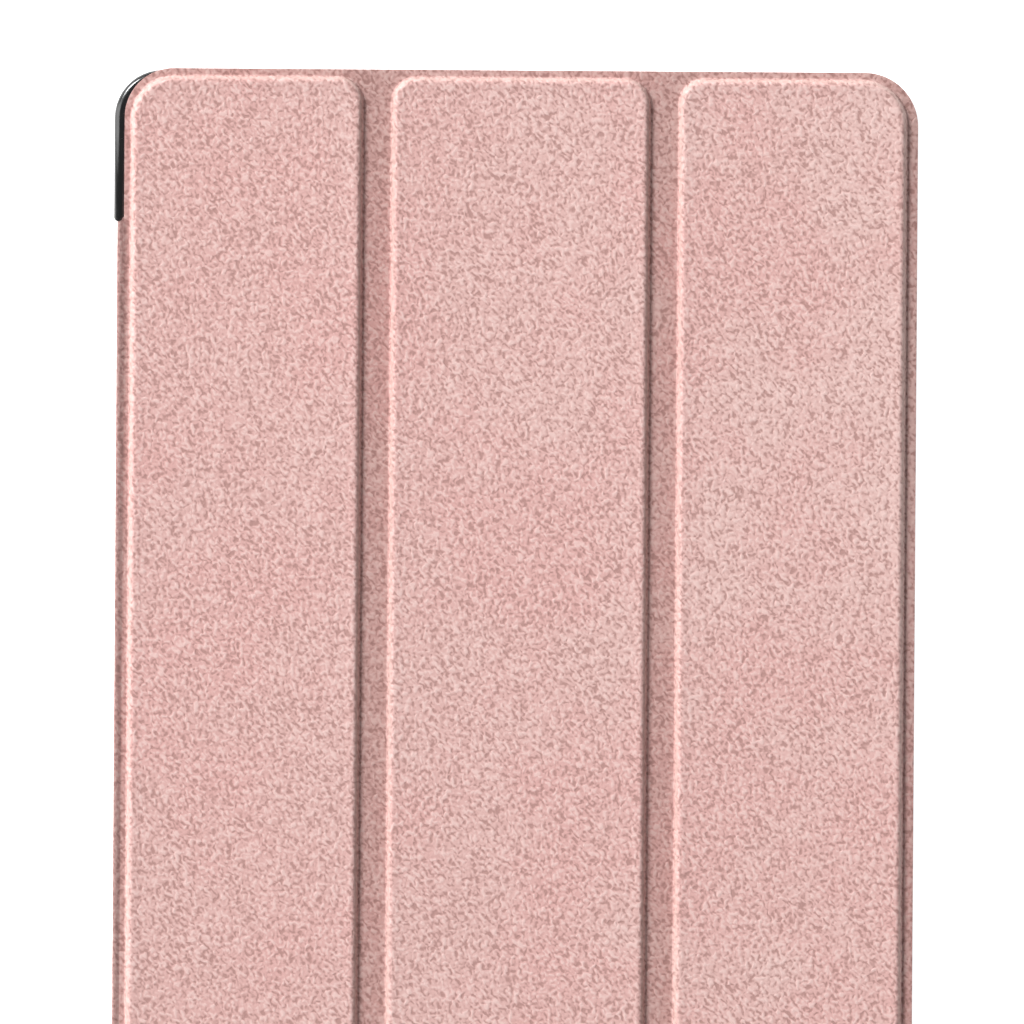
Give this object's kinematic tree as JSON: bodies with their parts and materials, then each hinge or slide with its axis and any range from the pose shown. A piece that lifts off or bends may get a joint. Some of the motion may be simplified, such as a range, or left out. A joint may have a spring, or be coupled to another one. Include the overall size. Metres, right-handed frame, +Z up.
{
  "type": "tri-fold tablet case",
  "caption": "Folio tablet case: a hard tray with a leather-covered back and a padded tri-fold cover on a soft spine; it folds into a triangular stand.",
  "frame": {"origin": "middle of the closed case's footprint, on the surface that it lies on", "axes": "+X from the spine to the cover's free edge, +Y along the spine towards the camera window's end, +Z up through the thickness, out of the cover's front"},
  "size_m": [0.162, 0.2522, 0.0127],
  "materials": {
    "cover_leather": "fine crinkled grain, satin rose gold",
    "tray_plastic": "polished black",
    "lining": "brushed microfibre, warm grey",
    "foam": "thin closed-cell foam",
    "board": "dense grey board",
    "adhesive": "clear adhesive film",
    "stay": "thin polyester sheet",
    "magnet": "nickel plate"
  },
  "bodies": {
    "shell": {"back_shell": "tray_plastic", "rear_leather": "cover_leather", "rear_adhesive_film": "adhesive"},
    "spine": {"spine_leather": "cover_leather", "spine_stay": "stay", "spine_lining": "lining"},
    "panel_1": {"panel_1_leather": "cover_leather", "panel_1_foam": "foam", "panel_1_board": "board", "panel_1_lining": "lining", "stand_magnets": "magnet"},
    "crease_1": {"fold_1_leather": "cover_leather", "fold_1_lining": "lining"},
    "panel_2": {"panel_2_leather": "cover_leather", "panel_2_foam": "foam", "panel_2_board": "board", "panel_2_lining": "lining"},
    "crease_2": {"fold_2_leather": "cover_leather", "fold_2_lining": "lining"},
    "panel_3": {"panel_3_leather": "cover_leather", "panel_3_foam": "foam", "panel_3_board": "board", "panel_3_lining": "lining", "closure_magnets": "magnet", "wake_magnet": "magnet"}
  },
  "joints": [
    {"name": "rear_hinge", "type": "hinge", "parent": "shell", "child": "spine", "pos_m": [-0.07967, 0, 0.00065], "axis": [0, -1, 0], "range_deg": [0, 180]},
    {"name": "front_hinge", "type": "hinge", "parent": "spine", "child": "panel_1", "pos_m": [-0.07967, 0, 0.01065], "axis": [0, -1, 0], "range_deg": [0, 180]},
    {"name": "fold_1_stand", "type": "hinge", "parent": "panel_1", "child": "crease_1", "pos_m": [-0.0281, 0, 0.01065], "axis": [0, -1, 0], "range_deg": [-123, 0]},
    {"name": "fold_1_peel", "type": "hinge", "parent": "crease_1", "child": "panel_2", "pos_m": [-0.0281, 0, 0.01065], "axis": [0, -1, 0], "range_deg": [0, 118]},
    {"name": "fold_2_stand", "type": "hinge", "parent": "panel_2", "child": "crease_2", "pos_m": [0.0298, 0, 0.01065], "axis": [0, -1, 0], "range_deg": [-120, 0]},
    {"name": "fold_2_peel", "type": "hinge", "parent": "crease_2", "child": "panel_3", "pos_m": [0.0298, 0, 0.01065], "axis": [0, -1, 0], "range_deg": [0, 118]}
  ],
  "couplings": [
    {"joint": "fold_1_stand", "follows": "front_hinge", "ratio": -0.68333},
    {"joint": "fold_2_stand", "follows": "front_hinge", "ratio": -0.66667}
  ]
}
